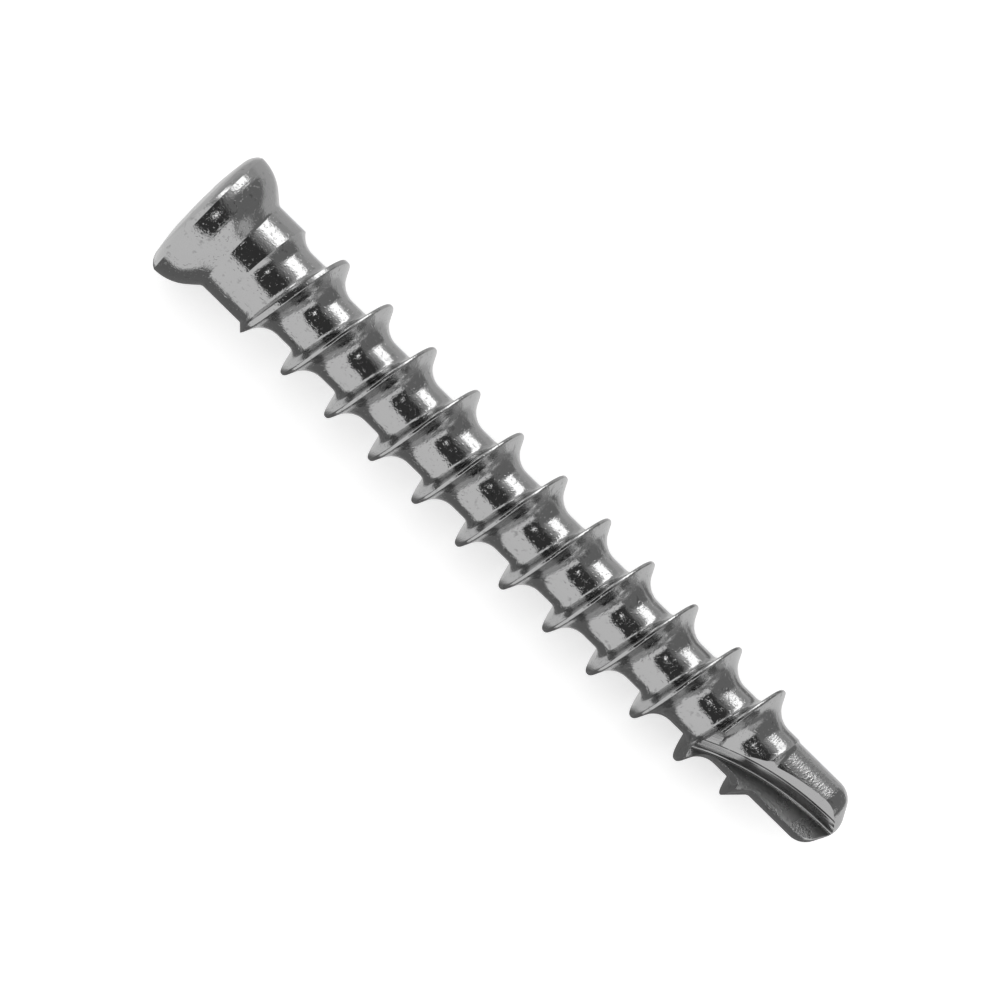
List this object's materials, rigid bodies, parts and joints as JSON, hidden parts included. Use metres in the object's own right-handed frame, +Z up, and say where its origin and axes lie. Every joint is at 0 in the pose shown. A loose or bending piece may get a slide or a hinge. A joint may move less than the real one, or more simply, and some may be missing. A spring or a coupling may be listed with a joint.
{
  "type": "cancellous screw",
  "caption": "Cancellous bone screw with a domed head, hex socket, plain neck, deep buttress thread and a blunt fluted tip, lying on its side.",
  "frame": {"origin": "middle of the screw's own bounding box, on the surface that it lies on", "axes": "+X along the screw from head to tip, +Z up, -Y the side from which the picture looks down on it"},
  "size_m": [0.046, 0.008, 0.008],
  "materials": {
    "steel": "fine tumbled implant steel with milling marks in the flutes"
  },
  "bodies": {
    "root": {"bone_screw": "steel"}
  },
  "joints": []
}
